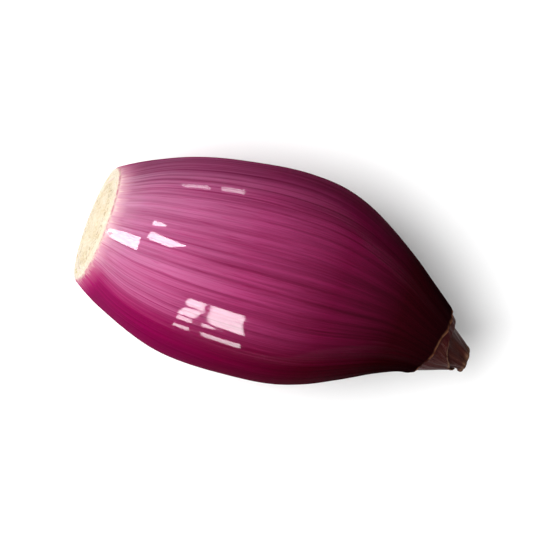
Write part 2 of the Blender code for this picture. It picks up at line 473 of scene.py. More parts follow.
belly = smooth_through(BELLY_OUTLINE, RINGS_PER_SPAN)[::-1]
belly = [(width * BELLY_RADIUS, along * BULB_LENGTH) for along, width in belly]
belly = [point for point in belly if RIM_ROUND < point[1] < MOUTH_HEIGHTS[0] - LIP]
rim = arc((ROOT_CUT_RADIUS - RIM_ROUND, RIM_ROUND), RIM_ROUND, 0, -90, RIM_STEPS)
ring_radii = np.linspace(ROOT_CUT_RADIUS - 1.2 * RIM_ROUND, RING_INNER, RING_STEPS)
ring_shares = np.linspace(FIRST_GROOVE_SHARE, 1, RING_STEPS)
cut_ring = [
    (radius, RING_GROOVE * math.sin(math.pi * share * RING_GROOVES) ** 4)
    for share, radius in zip(ring_shares, ring_radii)
]
recess = [(RING_INNER - 0.1 * MM, RECESS), (RING_INNER / 2, RECESS), (0.0, RECESS)]
outer_outline = mouth_outline + belly + rim + cut_ring + recess
print("belly:", len(belly), "outline points, cut ring:", len(cut_ring))

# %% [markdown]
# ## The outer scale: turned and grown
#
# The whole outline is turned once round in steps of one degree, which is fine enough for the veins. The
# places that the materials ask for are stored while the shape is still upright and round: the meridian
# coordinates, the cut face, the distance from its centre, and the torn lip. After that the inner edge of
# the cut ring gets a wave, because flesh and woody plate don't meet in a perfect circle, and the rules
# of growth move every point to its place.

# %% Outer scale
STEPS_AROUND = 360
CUT_DEPTH, CUT_REACH = 0.12 * MM, 0.3 * MM
LIP_REACH = 0.9 * MM
WAVY_RING = ((2.4, 6.0, 1.0), (8.0, 0.0, 0.5))
RING_WAVE_HEIGHT = 0.022
RING_WAVE_REACH = 1.7 * MM

outer_scale = spun("outer_scale", outer_outline, STEPS_AROUND)
upright = get_points(outer_scale)
radii = np.hypot(upright[:, 0], upright[:, 1])
around = meridians(upright)
store(outer_scale, "meridian", around)
store(outer_scale, "cut", falloff(np.maximum(upright[:, 2] - CUT_DEPTH, 0), CUT_REACH))
store(outer_scale, "cut_radius", radii / ROOT_CUT_RADIUS)
store(outer_scale, "lip", falloff(upright[:, 2] - MOUTH_HEIGHTS[0], LIP_REACH))

on_ring = falloff(radii - RING_INNER, RING_WAVE_REACH) * (upright[:, 2] < 2 * RECESS)
upright[:, :2] *= 1 + RING_WAVE_HEIGHT * (on_ring * waves_round(around, WAVY_RING))[:, None]
set_points(outer_scale, grow(roughen(upright)))
print("cut face, mm across:", round(2 * ROOT_CUT_RADIUS / MM, 1))

# %% [markdown]
# ## Inner scales at the neck
#
# Two more scales come out of the mouth, each out of the one before it, and the last ends in the shut,
# dried tip. They are separate shells on a real onion too, so each is a closed shape of its own, with its
# foot hidden in the well of the scale round it. The rims could be cut out of one solid neck, but then no
# dark gap would show between them. One foot serves for both: only the radii differ.

# %% Turn the inner scales
GAP = 0.22 * MM
FOOT_LIFT = 0.15 * MM
FOOT_STEPS = 10
SIDE_STEPS = (26, 16)
SCALE_STEPS_AROUND = (240, 200)
SECOND_WELL_DEPTH = 1.7 * MM
TIP_HEIGHT = BULB_LENGTH - 0.2 * MM
TIP_ROUND = 0.7 * MM
TIP_ROUND_STARTS, TIP_ROUND_STEPS = 12, 7
TIP_HOLLOW = 0.25 * MM


def foot_outline(mouth, depth):
    """From the axis out to the foot of the scale that stands in this mouth, and up to the mouth."""
    inner = MOUTH_RADII[mouth] - LIP - GAP
    floor = MOUTH_HEIGHTS[mouth] - depth + FOOT_LIFT
    deep = np.linspace(depth - FOOT_LIFT, 0, FOOT_STEPS)
    wall = [(inner + NECK_SLOPE * d, MOUTH_HEIGHTS[mouth] - d) for d in deep]
    return [(0.0, floor), (wall[0][0] / 2, floor), *wall]


def straight(start, end, steps):
    """Points between two points of an outline, without the first."""
    return [tuple(row) for row in np.linspace(start, end, steps + 1)[1:]]


foot = foot_outline(0, WELL_DEPTH)
side = straight(foot[-1], (MOUTH_RADII[1], MOUTH_HEIGHTS[1] - LIP), SIDE_STEPS[0])
lip_and_well = lip_outline(1)[::-1] + well_outline(1, SECOND_WELL_DEPTH)[::-1]
second_scale = spun("second_scale", foot + side + lip_and_well, SCALE_STEPS_AROUND[0])

foot = foot_outline(1, SECOND_WELL_DEPTH)
side = straight(foot[-1], (NECK_TIP_RADIUS, TIP_HEIGHT - TIP_ROUND), SIDE_STEPS[1])
middle = (NECK_TIP_RADIUS - TIP_ROUND, TIP_HEIGHT - TIP_ROUND)
dome = arc(middle, TIP_ROUND, TIP_ROUND_STARTS, 90, TIP_ROUND_STEPS)
tip_outline = foot + side + dome + [(0.0, TIP_HEIGHT - TIP_HOLLOW)]
third_scale = spun("neck_tip", tip_outline, SCALE_STEPS_AROUND[1])

# %% [markdown]
# ## The torn mouth and the shut tip
#
# The second scale is torn open like the first. The third is shut: its tip has dried into a few deep
# folds that meet at the axis, like the mouth of a drawn purse. A fold is a stretch of the round where
# the radius is smaller, so a cosine round the axis makes them, uneven because a sine is added to the
# angle inside it. They deepen towards the tip.

# %% Finish the inner scales
SECOND_LIP_REACH = 0.8 * MM
TIP_REACH = 1.9 * MM
TIP_FOLDS = 7
TIP_FOLD_DEPTH = 0.16
FOLD_UNEVENNESS = 2.0

upright = get_points(second_scale)
store(second_scale, "meridian", meridians(upright))
store(second_scale, "lip", falloff(upright[:, 2] - MOUTH_HEIGHTS[1], SECOND_LIP_REACH))
set_points(second_scale, grow(roughen(upright)))

upright = get_points(third_scale)
store(third_scale, "meridian", meridians(upright))
store(third_scale, "lip", falloff(upright[:, 2] - TIP_HEIGHT, TIP_REACH))
angle = np.arctan2(upright[:, 1], upright[:, 0])
toward_tip = np.clip((upright[:, 2] - MOUTH_HEIGHTS[1]) / (TIP_HEIGHT - MOUTH_HEIGHTS[1]), 0, 1)
fold = 1 + np.cos(TIP_FOLDS * angle + FOLD_UNEVENNESS * np.sin(angle))
upright[:, :2] *= (1 - TIP_FOLD_DEPTH * toward_tip * fold)[:, None]
set_points(third_scale, grow(roughen(upright)))
print("neck tip:", TIP_FOLDS, "folds, up to", round(2 * TIP_FOLD_DEPTH * NECK_TIP_RADIUS / MM, 2), "mm deep")

# %% [markdown]
# ## The root plate: a pressed ball
#
# The knife has gone through the woody disc that the roots and the scales grow from. It is cream-yellow,
# grainy, slightly domed, and its outline is a little wavy. A turned disc would crowd its points in the
# middle. An icosphere that is pressed flat has even triangles all over, so fine grain can be raised
# anywhere. Its front half becomes the cut face and its back half is hidden in the bulb.

# %% Root plate: its dome
PLATE_RISE = 0.55 * MM
PLATE_BACK = 0.35 * MM
PLATE_REACH = PLATE_RADIUS + 0.70 * MM
WAVY_PLATE = ((2.2, 4.0, 1.0), (7.0, 0.0, 0.4))
PLATE_WAVE_HEIGHT = 0.035
EDGE_DROP = 0.40 * MM
EDGE_SHARE = 0.09

bpy.ops.mesh.primitive_ico_sphere_add(subdivisions=7, radius=PLATE_REACH)
root_plate = bpy.context.object
root_plate.name = "root_plate"
ball = get_points(root_plate)
share = np.hypot(ball[:, 0], ball[:, 1]) / PLATE_REACH
ball[:, :2] *= 1 + PLATE_WAVE_HEIGHT * (waves_round(meridians(ball), WAVY_PLATE) * share ** 2)[:, None]
is_front = ball[:, 2] < 0
edge = 1 - falloff(np.maximum(1 - share, 0), EDGE_SHARE)
front = -PLATE_RISE * (1 - share ** 2) * edge + EDGE_DROP * (1 - edge)
back = EDGE_DROP + PLATE_BACK * np.sqrt(np.maximum(1 - share ** 2, 0))
print("root plate:", len(root_plate.data.polygons), "faces, domed by", round(PLATE_RISE / MM, 2), "mm")

# %% [markdown]
# ## The root plate: scars and strands
#
# Roots grew from the disc in rings. Each left a scar where it was cut: a low collar round a pit. Between
# them are darker specks, the cut strands that fed the scales. Separate small discs could be laid on the
# plate, but they would look stuck on. Instead each point of the plate works out how near it is to a scar
# or a strand, and the same masks raise the relief here and tint it in the material later.

# %% Root plate: scars and strands
SCAR_RINGS = ((0.80, 13), (0.42, 6))
SCAR_RADIUS = 0.55 * MM
SCAR_SIZES = (0.70, 1.15)
SCAR_WANDER = 0.25
COLLAR_PLACE, COLLAR_REACH = 0.62, 0.55
PIT_REACH = 0.55
STRANDS = 90
STRAND_RADIUS = 0.17 * MM
STRAND_SIZES = (0.6, 1.3)
STRAND_PLACES = (0.05, 0.90)
STRAND_REACH = 1.6


def on_plate(ring, turn, size):
    return ring * math.cos(turn), ring * math.sin(turn), size


draw = random.Random(SEED)
scars = []
for ring_share, count in SCAR_RINGS:
    for number in range(count):
        turn = math.tau * (number + draw.uniform(-SCAR_WANDER, SCAR_WANDER)) / count
        scars.append(on_plate(ring_share * PLATE_RADIUS, turn, SCAR_RADIUS * draw.uniform(*SCAR_SIZES)))
strands = []
for number in range(STRANDS):
    ring = PLATE_RADIUS * math.sqrt(draw.uniform(*STRAND_PLACES))
    strands.append(on_plate(ring, draw.uniform(0, math.tau), STRAND_RADIUS * draw.uniform(*STRAND_SIZES)))

collar, pit, strand = np.zeros((3, len(ball)))
for x, y, size in scars:
    distance = np.hypot(ball[:, 0] - x, ball[:, 1] - y) / size
    collar = np.maximum(collar, falloff(distance - COLLAR_PLACE, COLLAR_REACH))
    pit = np.maximum(pit, falloff(distance, PIT_REACH))
for x, y, size in strands:
    distance = np.hypot(ball[:, 0] - x, ball[:, 1] - y) / size
    strand = np.maximum(strand, falloff(distance, STRAND_REACH))
print("root scars:", len(scars), "strands:", len(strands))

# %% [markdown]
# ## The root plate: grain
#
# Woody tissue tears a little under a knife, so the cut is grainy and softly lumpy. Two noises do that,
# one for the grain and one for the lumps, and the scars and strands are added to them. All of it fades
# at the edge, where the plate dips under the flesh. Bump in the material alone would be quicker, but it
# stays flat at the outline, and the plate is often seen edge on.

# %% Root plate: relief
GRAIN_SIZE, GRAIN_HEIGHT = 0.42 * MM, 0.07 * MM
LUMP_SIZE, LUMP_HEIGHT, LUMP_PATCH = 2.6 * MM, 0.16 * MM, 5.0
SCAR_RISE = 0.20 * MM
PIT_SHARE = 0.8
STRAND_SINK = 0.05 * MM

grain = noise_at(ball * (1, 1, 0) / GRAIN_SIZE)
lumps = noise_at(ball * (1, 1, 0) / LUMP_SIZE + LUMP_PATCH)
relief = GRAIN_HEIGHT * grain + LUMP_HEIGHT * lumps
relief = relief + SCAR_RISE * (collar - PIT_SHARE * pit) - STRAND_SINK * strand
front = front - relief * edge
for name, mask in (("share", share), ("collar", collar), ("pit", pit), ("strand", strand)):
    store(root_plate, name, mask)
set_points(root_plate, grow(np.column_stack((ball[:, :2], np.where(is_front, front, back)))))
bpy.ops.object.shade_smooth()
print("relief of the plate, mm:", round(float(np.ptp(relief)) / MM, 2), "from lowest to highest")

# %% [markdown]
# ## Laying the bulb down
#
# All pieces stand upright, root down. They are now turned onto their side together and moved so that
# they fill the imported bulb's box: the same height above the table, the same reach to the neck. The
# belly's lowest stretch is pressed flat on the table, as a soft thing's is by its own weight. The turn
# could stay on the objects as a rotation, but the export and the materials want it in the mesh.

# %% Lay the pieces down
LEAN = math.radians(4.5)
PIECES = (outer_scale, second_scale, third_scale, root_plate)

turn = math.pi / 2 + LEAN
lying = np.array(((math.cos(turn), 0, math.sin(turn)), (0, 1, 0), (-math.sin(turn), 0, math.cos(turn))))
laid = {piece.name: get_points(piece) @ lying.T for piece in PIECES}
everything = np.vstack(list(laid.values()))
belly_low, belly_high = everything.min(axis=0), everything.max(axis=0)
shift = np.array((
    (low.x + high.x - belly_low[0] - belly_high[0]) / 2,
    (low.y + high.y - belly_low[1] - belly_high[1]) / 2,
    high.z - belly_high[2],
))
for piece in PIECES:
    points = laid[piece.name] + shift
    points[:, 2] = np.maximum(points[:, 2], 0)
    set_points(piece, points)
    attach(piece, BODY)
    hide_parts(NODE)
print("moved, mm:", np.round(shift / MM, 2))

# %% [markdown]
# ## Building materials from nodes
#
# Every finish below is a Principled shader that is fed by procedural nodes. They could be wired up in the
# shader editor, or typed out node by node and link by link, but then the plumbing would hide the idea.
# A few short helpers keep it readable: one adds a node and connects it, some do arithmetic, and one eases
# a value from one range to another.

# %% Helpers for nodes
def put(tree, kind, inputs=None, **settings):
    """Adds a shader node. Inputs are values or other nodes' outputs, by socket name or number."""
    made = tree.nodes.new("ShaderNode" + kind)
    for name, value in settings.items():
        setattr(made, name, value)
    feed(tree, made, inputs or {})
    return made


def feed(tree, node, sockets):
    """Sets each input to a value, or links it to another node's output."""
    for name, value in sockets.items():
        if isinstance(value, bpy.types.NodeSocket):
            tree.links.new(value, node.inputs[name])
        else:
            node.inputs[name].default_value = value


def calc(tree, operation, a, b=0.0, clamp=False):
    """One Math node."""
    return put(tree, "Math", {0: a, 1: b}, operation=operation, use_clamp=clamp).outputs[0]


def times(tree, a, b):
    return calc(tree, "MULTIPLY", a, b)


def plus(tree, first, *others):
    """The sum of two or more values, with one Add node for each after the first."""
    total = first
    for other in others:
        total = calc(tree, "ADD", total, other)
    return total


def vector_calc(tree, operation, a, b):
    """The outputs of one Vector Math node."""
    return put(tree, "VectorMath", {0: a, 1: b}, operation=operation).outputs


def ease(tree, value, start, end, to_start=0.0, to_end=1.0):
    """Turns start to end into to_start to to_end, gently at both ends, and holds the value beyond them."""
    inputs = {"Value": value, "From Min": start, "From Max": end, "To Min": to_start, "To Max": to_end}
    return put(tree, "MapRange", inputs, interpolation_type="SMOOTHSTEP").outputs[0]


# %% [markdown]
# ## Colours, attributes and groups
#
# Colours need their own helpers: one mixes two colours, one turns a number into a colour, and one reads
# an attribute that the mesh keeps. The last two make a node group with named sockets and place it. A
# pattern that is used in several materials could be copied into each, but a group is changed only once.

# %% Helpers for colours and groups
def blend(tree, factor, first, second, kind="MIX"):
    inputs = {0: factor, 6: first, 7: second}
    return put(tree, "Mix", inputs, data_type="RGBA", blend_type=kind).outputs[2]


def ramp(tree, value, stops):
    """A colour for each value, from (position, colour) stops."""
    made = put(tree, "ValToRGB", {0: value})
    elements = made.color_ramp.elements
    elements[0].position, elements[1].position = stops[0][0], stops[-1][0]
    elements[0].color, elements[1].color = (*stops[0][1], 1), (*stops[-1][1], 1)
    for position, colour in stops[1:-1]:
        elements.new(position).color = (*colour, 1)
    return made.outputs[0]


def attribute(tree, name, output="Fac"):
    return put(tree, "Attribute", attribute_name=name).outputs[output]


def new_material(name):
    material = bpy.data.materials.new(name)
    material.use_nodes = True
    return material, material.node_tree, material.node_tree.nodes["Principled BSDF"]


def new_group(name, inputs, outputs):
    """A node group with named inputs, given as (name, type, value), and float outputs."""
    group = bpy.data.node_groups.new(name, "ShaderNodeTree")
    for title, kind, value in inputs:
        socket = group.interface.new_socket(title, in_out="INPUT", socket_type=kind)
        if value is not None:
            socket.default_value = value
    for title in outputs:
        group.interface.new_socket(title, in_out="OUTPUT", socket_type="NodeSocketFloat")
    start = group.nodes.new("NodeGroupInput")
    end = group.nodes.new("NodeGroupOutput")
    return group, start.outputs, end


def use_group(tree, group, inputs):
    made = put(tree, "Group", node_tree=group)
    feed(tree, made, inputs)
    return made.outputs


# %% [markdown]
# ## Veins as a reusable group
#
# The same lengthwise veins colour the belly, the inner scales and the halo at the root, so they are a
# node group with its own inputs. Stripes could come from a wave texture, but it is as regular as cloth.
# Noise is read at the meridian coordinates instead. Those change fast round the bulb and slowly along
# it, so round blobs of noise become streaks. A little noise is first added to the coordinates
# themselves, so that the streaks wander as they run.

# %% Group of lengthwise veins: coordinates
WANDER_SCALE = 2.6
MIDDLE_GREY = (0.5, 0.5, 0.5)

veins_group, given, result = new_group(
    "lengthwise veins",
    (
        ("Meridian", "NodeSocketVector", None),
        ("Fineness", "NodeSocketFloat", 11.0),
        ("Stretch", "NodeSocketFloat", 0.16),
        ("Wander", "NodeSocketFloat", 0.05),
        ("Main veins round", "NodeSocketFloat", 66.0),
    ),
    ("Bands", "Streaks", "Fine veins", "Main veins", "Relief"),
)
tree = veins_group
wobble = put(tree, "TexNoise", {"Vector": given["Meridian"], "Scale": WANDER_SCALE, "Detail": 1.0})
centred = vector_calc(tree, "SUBTRACT", wobble.outputs["Color"], MIDDLE_GREY)[0]
pushed = put(tree, "VectorMath", {0: centred, 3: given["Wander"]}, operation="SCALE").outputs[0]
moved = vector_calc(tree, "ADD", given["Meridian"], pushed)[0]
parts = put(tree, "SeparateXYZ", {0: moved}).outputs
drawn_out = times(tree, parts[2], given["Stretch"])
spread = put(tree, "CombineXYZ", {0: parts[0], 1: parts[1], 2: drawn_out}).outputs[0]
print("coordinates of", veins_group.name, "made with", len(tree.nodes), "nodes")

# %% [markdown]
# Three patterns come from noise on those coordinates: broad bands, narrower streaks, and fine veins.
# Where a noise crosses its middle value it draws thin lines that join and part at sharp angles, as small
# veins do. The main veins are more regular on a real scale: they stand at nearly even distances all
# round. So they are counted off round the axis, with a slow drift, and each has its own strength.

# %% Group of lengthwise veins: patterns
FINE_VEIN_EDGE = 0.035
MAIN_VEIN_DRIFT = 5.0
MAIN_VEIN_EDGE, MAIN_VEIN_CORE = 0.16, 0.02
MAIN_VEIN_FAINTEST = 0.15


def streak_noise(scale_share, detail, roughness=0.5):
    """Noise drawn out along the bulb, at a share of the group's fineness."""
    scale = times(tree, given["Fineness"], scale_share)
    inputs = {"Vector": spread, "Scale": scale, "Detail": detail, "Roughness": roughness}
    return put(tree, "TexNoise", inputs).outputs[0]


streaks = streak_noise(1.0, 3.0, 0.6)
from_crossing = calc(tree, "ABSOLUTE", calc(tree, "SUBTRACT", streak_noise(1.45, 1.0), 0.5))
fine_veins = ease(tree, from_crossing, FINE_VEIN_EDGE, 0.0)

angle = calc(tree, "ARCTAN2", parts[1], parts[0])
turns = times(tree, angle, calc(tree, "DIVIDE", given["Main veins round"], math.tau))
drift = times(tree, streak_noise(0.13, 1.0), MAIN_VEIN_DRIFT)
from_vein = calc(tree, "PINGPONG", plus(tree, turns, drift), 0.5)
strength = ease(tree, streak_noise(0.55, 1.0), 0.35, 0.65, MAIN_VEIN_FAINTEST, 1.0)
main_veins = times(tree, ease(tree, from_vein, MAIN_VEIN_EDGE, MAIN_VEIN_CORE), strength)

feed(tree, result, {
    "Bands": ease(tree, streak_noise(0.35, 1.0), 0.32, 0.68),
    "Streaks": ease(tree, streaks, 0.30, 0.70),
    "Fine veins": fine_veins,
    "Main veins": main_veins,
    "Relief": plus(tree, times(tree, fine_veins, 0.4), times(tree, main_veins, 0.32), streaks),
})
print("group:", veins_group.name, "with", len(veins_group.nodes), "nodes")

# %% [markdown]
# ## Grain as a reusable group
#
# Cut flesh, the woody plate and dried edges all have a fine grain, each with its own size. Three noise
# textures would do, but one group keeps them alike. It gives a mottled mask and a height for bump, which
# is noise with the pores of a Voronoi texture sunk in it. It reads Object coordinates, which are in
# metres, so its size input is a real size.

# %% Group of grain
PORE_DEPTH = 0.4

grain_group, given, result = new_group(
    "fine grain",
    (("Size", "NodeSocketFloat", 0.5 * MM), ("Detail", "NodeSocketFloat", 3.0)),
    ("Mottle", "Relief"),
)
tree = grain_group
place = put(tree, "TexCoord").outputs["Object"]
scale = calc(tree, "DIVIDE", 1.0, given["Size"])
specks = put(tree, "TexNoise", {"Vector": place, "Scale": scale, "Detail": given["Detail"]}).outputs[0]
pores = put(tree, "TexVoronoi", {"Vector": place, "Scale": scale}).outputs["Distance"]
feed(tree, result, {
    "Mottle": ease(tree, specks, 0.3, 0.7),
    "Relief": calc(tree, "SUBTRACT", specks, times(tree, pores, PORE_DEPTH)),
})
print("group:", grain_group.name, "with", len(grain_group.nodes), "nodes")

# %% [markdown]
# ## Wet outer scale: its colours
#
# The red sits in the thin outer skin of a white, watery scale. So the colour is deep where the skin is
# thick, and pale and streaked where it thins out at the root. Towards the neck it falls to almost black,
# partly the neck's own dark maroon and partly painted shade. One colour ramp could only change along the
# bulb. Two ramps, a pale one and a deep one, both from root to neck, leave room for veins to choose
# between them, and for painted light on the top side and painted shade on the lower side.

# %% Colours from root to neck
# Towards the neck both ramps fall to almost black: partly the neck's own dark maroon, partly painted shade.
PALE = (
    (0.000, (0.76, 0.60, 0.57)),
    (0.010, (0.66, 0.40, 0.46)),
    (0.032, (0.49, 0.24, 0.34)),
    (0.080, (0.45, 0.180, 0.300)),
    (0.200, (0.42, 0.120, 0.245)),
    (0.380, (0.32, 0.050, 0.150)),
    (0.600, (0.155, 0.006, 0.050)),
    (0.780, (0.045, 0.001, 0.007)),
    (0.900, (0.014, 0.001, 0.002)),
)
DEEP = (
    (0.000, (0.54, 0.26, 0.31)),
    (0.009, (0.40, 0.080, 0.180)),
    (0.034, (0.35, 0.018, 0.130)),
    (0.200, (0.30, 0.004, 0.095)),
    (0.400, (0.18, 0.001, 0.045)),
    (0.600, (0.085, 0.000, 0.013)),
    (0.780, (0.024, 0.000, 0.002)),
    (0.900, (0.008, 0.000, 0.001)),
)
print("colour stops from root to neck:", len(PALE), "pale,", len(DEEP), "deep")

# %% [markdown]
# ## Wet outer scale: where the skin is deep, and painted light and shade
#
# Every vein and streak is a little deeper than the flesh between. That could be painted on, but paint has
# only one size of detail. The vein group is placed three times, each finer than the one before. The top
# of the bulb, turned a little to one side, is painted paler, as painted light and sheen, and the lower
# side deeper, as painted shade. A dot product of the meridian coordinates with one direction tells how
# far a point is towards the painted light on top. Near the root the streaks also shift the ramps up and
# down, so the halo ends in a fringe instead of a ring.

# %% Outer scale: deep and pale skin
# Painted light and shade: the side towards this direction is painted paler, as painted light and sheen, the
# side away from it deeper, as painted shade.
PAINTED_LIGHT_SIDE = (-0.92, 0.39, 0.0)
FRINGE_ENDS = 0.22

skin, tree, shader = new_material("wet onion scale")
meridian = attribute(tree, "meridian", "Vector")
along = put(tree, "SeparateXYZ", {0: meridian}).outputs[2]


def lengthwise(fineness, stretch, wander):
    """The vein group placed in this material, at its own fineness."""
    inputs = {"Meridian": meridian, "Fineness": fineness, "Stretch": stretch, "Wander": wander}
    return use_group(tree, veins_group, inputs)


veins = lengthwise(11.0, 0.16, 0.05)
fine = lengthwise(26.0, 0.10, 0.02)
fibres = lengthwise(70.0, 0.06, 0.01)

patchy = plus(
    tree,
    times(tree, veins["Bands"], 0.28),
    times(tree, veins["Streaks"], 0.24),
    times(tree, fine["Streaks"], 0.20),
)
toward_painted_light = vector_calc(tree, "DOT_PRODUCT", meridian, PAINTED_LIGHT_SIDE)["Value"]
# The streaks, plus painted light and shade: paler on top, deeper on the lower side.
deepness_and_painted_shade = calc(tree, "ADD", patchy, ease(tree, toward_painted_light, 0.97, -0.10, -0.20, 0.85), clamp=True)

fringe = plus(tree, times(tree, veins["Streaks"], 0.014), times(tree, fine["Streaks"], 0.012), -0.013)
where = calc(tree, "SUBTRACT", along, times(tree, fringe, ease(tree, along, FRINGE_ENDS, 0.0)))
deep_colour = ramp(tree, where, DEEP)
colour = blend(tree, deepness_and_painted_shade, ramp(tree, where, PALE), deep_colour)
vein_strength = plus(tree, times(tree, fine["Fine veins"], 0.25), times(tree, veins["Main veins"], 0.36))
colour = blend(tree, vein_strength, colour, deep_colour)
print("skin so far:", len(tree.nodes), "nodes")

# %% [markdown]
# ## Wet outer scale: light and dark, and painted shade
#
# Seen closely the skin also gets lighter and darker in fine fibres, and darker along each main vein. The
# flanks are painted darker than the top, as painted shade. More colours could be mixed in for that, but
# their hue would drift. One grey number for each point multiplies the colour instead. It fades out at the
# root, where the skin has almost no pigment.

# %% Outer scale: light and dark skin
TOP_SIDE = (-1.0, 0.0, 0.0)
FIBRE_LIGHT, FIBRE_DARK = 1.08, 0.84
VEIN_LIGHT, VEIN_DARK = 1.01, 0.86
# Painted shade: how much darker the flanks are painted than the top.
FLANK_PAINTED_SHADE = 0.62
PIGMENT_STARTS = 0.06

thickness = plus(
    tree,
    times(tree, veins["Streaks"], 0.35),
    times(tree, fine["Streaks"], 0.35),
    times(tree, fibres["Streaks"], 0.30),
)
shade = ease(tree, thickness, 0.15, 0.85, FIBRE_LIGHT, FIBRE_DARK)
shade = times(tree, shade, ease(tree, veins["Main veins"], 0.0, 1.0, VEIN_LIGHT, VEIN_DARK))
toward_top = vector_calc(tree, "DOT_PRODUCT", meridian, TOP_SIDE)["Value"]
# Painted shade on the flanks: darkest where the surface turns away from the top.
shade = times(tree, shade, ease(tree, toward_top, 1.0, 0.35, 1.0, FLANK_PAINTED_SHADE))
tone = put(tree, "CombineXYZ", {0: shade, 1: shade, 2: shade}).outputs[0]
colour = blend(tree, ease(tree, along, 0.0, PIGMENT_STARTS), colour, tone, "MULTIPLY")
print("skin so far:", len(tree.nodes), "nodes")

# %% [markdown]
# ## Wet outer scale: cut flesh and torn lip
#
# The knife has bared white flesh in a ring round the root plate. It is cream with darker grain, and the
# cut ends of the veins show in it as a ring of yellowish dots. At the neck the scale's lip is torn and
# has dried to brown. A second material on those faces would end in steps along their edges. Both places
# are attributes of the mesh instead, so the colour meets the shape exactly and can fade.

# %% Outer scale: cut flesh and torn lip
FLESH = (0.71, 0.64, 0.55, 1.0)
FLESH_SHADE = (0.62, 0.53, 0.41, 1.0)
VEIN_END = (0.50, 0.40, 0.16, 1.0)
VEIN_END_RING = 0.895
FLESH_GRAIN = 0.35 * MM
RIM_RED = (0.46, 0.12, 0.21, 1.0)
DRY_EDGE = (0.15, 0.070, 0.040, 1.0)

cut = attribute(tree, "cut")
lip = attribute(tree, "lip")
from_centre = attribute(tree, "cut_radius")
grain = use_group(tree, grain_group, {"Size": FLESH_GRAIN})

flesh = blend(tree, grain["Mottle"], FLESH, FLESH_SHADE)
from_ring = calc(tree, "ABSOLUTE", calc(tree, "SUBTRACT", from_centre, VEIN_END_RING))
vein_ends = times(tree, ease(tree, from_ring, 0.030, 0.008), ease(tree, veins["Streaks"], 0.45, 0.9))
flesh = blend(tree, times(tree, vein_ends, 0.7), flesh, VEIN_END)
stained = plus(tree, times(tree, veins["Streaks"], 0.60), 0.20)
flesh = blend(tree, times(tree, stained, ease(tree, from_centre, 0.955, 0.99)), flesh, RIM_RED)
colour = blend(tree, cut, colour, flesh)
torn = times(tree, ease(tree, lip, 0.35, 1.0), ease(tree, veins["Bands"], 0.1, 0.9, 0.15, 0.95))
colour = blend(tree, torn, colour, DRY_EDGE)
print("skin with its cut and its lip:", len(tree.nodes), "nodes")

# %% [markdown]
# ## Wet outer scale: film of water
#
# What shines is a film of water, and the coat is that film: a second, sharp gloss with the refraction of
# water, on top of a body that has no gloss of its own. A flat mirror of a white room would turn the dark
# flanks grey, so the coat gets thinner where the surface is seen edge on, which the Layer Weight node
# tells. It is thin on the dried lip and on the cut as well. Subsurface scattering lets light travel
# through the flesh, red the farthest. The veins and the grain stand out a little, as bump.

# %% Outer scale: film of water
WATER_IOR = 1.33
FILM_ROUGHNESS = 0.05
FILM_FACING, FILM_EDGE_ON = 0.60, 0.03
SKIN_ROUGHNESS, DRY_ROUGHNESS = 0.20, 0.55
RELIEF_HEIGHT = 0.22 * MM
GLOW_COLOURS = (1.0, 0.22, 0.35)
GLOW_DEPTH = 2.5 * MM

dry = calc(tree, "MAXIMUM", ease(tree, lip, 0.3, 1.0), times(tree, cut, 0.6))
facing = put(tree, "LayerWeight", {"Blend": 0.5}).outputs["Facing"]
film = ease(tree, facing, 0.12, 0.50, FILM_FACING, FILM_EDGE_ON)
wet = plus(tree, times(tree, dry, -0.85), 1.0)
wet = times(tree, wet, ease(tree, along, 0.62, 0.86, 1.0, 0.35))
relief = plus(
    tree,
    times(tree, veins["Relief"], 0.6),
    times(tree, fine["Relief"], 0.35),
    times(tree, grain["Relief"], 0.05),
)
bump = put(tree, "Bump", {"Height": relief, "Strength": 0.35, "Distance": RELIEF_HEIGHT})
roughness = ease(tree, dry, 0.0, 1.0, SKIN_ROUGHNESS, DRY_ROUGHNESS)
feed(tree, shader, {
    "Base Color": colour,
    "Roughness": plus(tree, roughness, times(tree, fine["Streaks"], 0.06)),
    "Normal": bump.outputs[0],
    "Specular IOR Level": 0.0,
    "Coat Weight": times(tree, wet, film),
    "Coat Roughness": FILM_ROUGHNESS,
    "Coat IOR": WATER_IOR,
    "Subsurface Weight": 0.10,
    "Subsurface Radius": GLOW_COLOURS,
    "Subsurface Scale": GLOW_DEPTH,
})
outer_scale.data.materials.append(skin)
print("material:", skin.name, "with", len(tree.nodes), "nodes")

# %% [markdown]
# ## Dried neck
#
# Towards its end the neck has dried. The film of water is gone, and the colour is brown-black with a dull
# red in it: partly the dried neck's own colour, partly painted shade. The thinnest edges are tan and
# papery. The skin's material could be stretched to cover this too, but it would need a switch for every
# value. A material of its own is shorter. The same vein group is used in it, coarser, so that the folds
# and the colour run together.

# %% Neck material
# Near-black towards the tip: partly the dried neck's own colour, partly painted shade.
NECK = (
    (0.86, (0.050, 0.002, 0.006)),
    (0.93, (0.034, 0.003, 0.004)),
    (1.00, (0.034, 0.008, 0.006)),
)
NECK_LIGHT = (0.066, 0.017, 0.010, 1.0)
PAPER = (0.14, 0.076, 0.044, 1.0)
NECK_GRAIN = 0.3 * MM
NECK_RELIEF = 0.3 * MM
NECK_ROUGHNESS, PAPER_ROUGHNESS = 0.46, 0.68

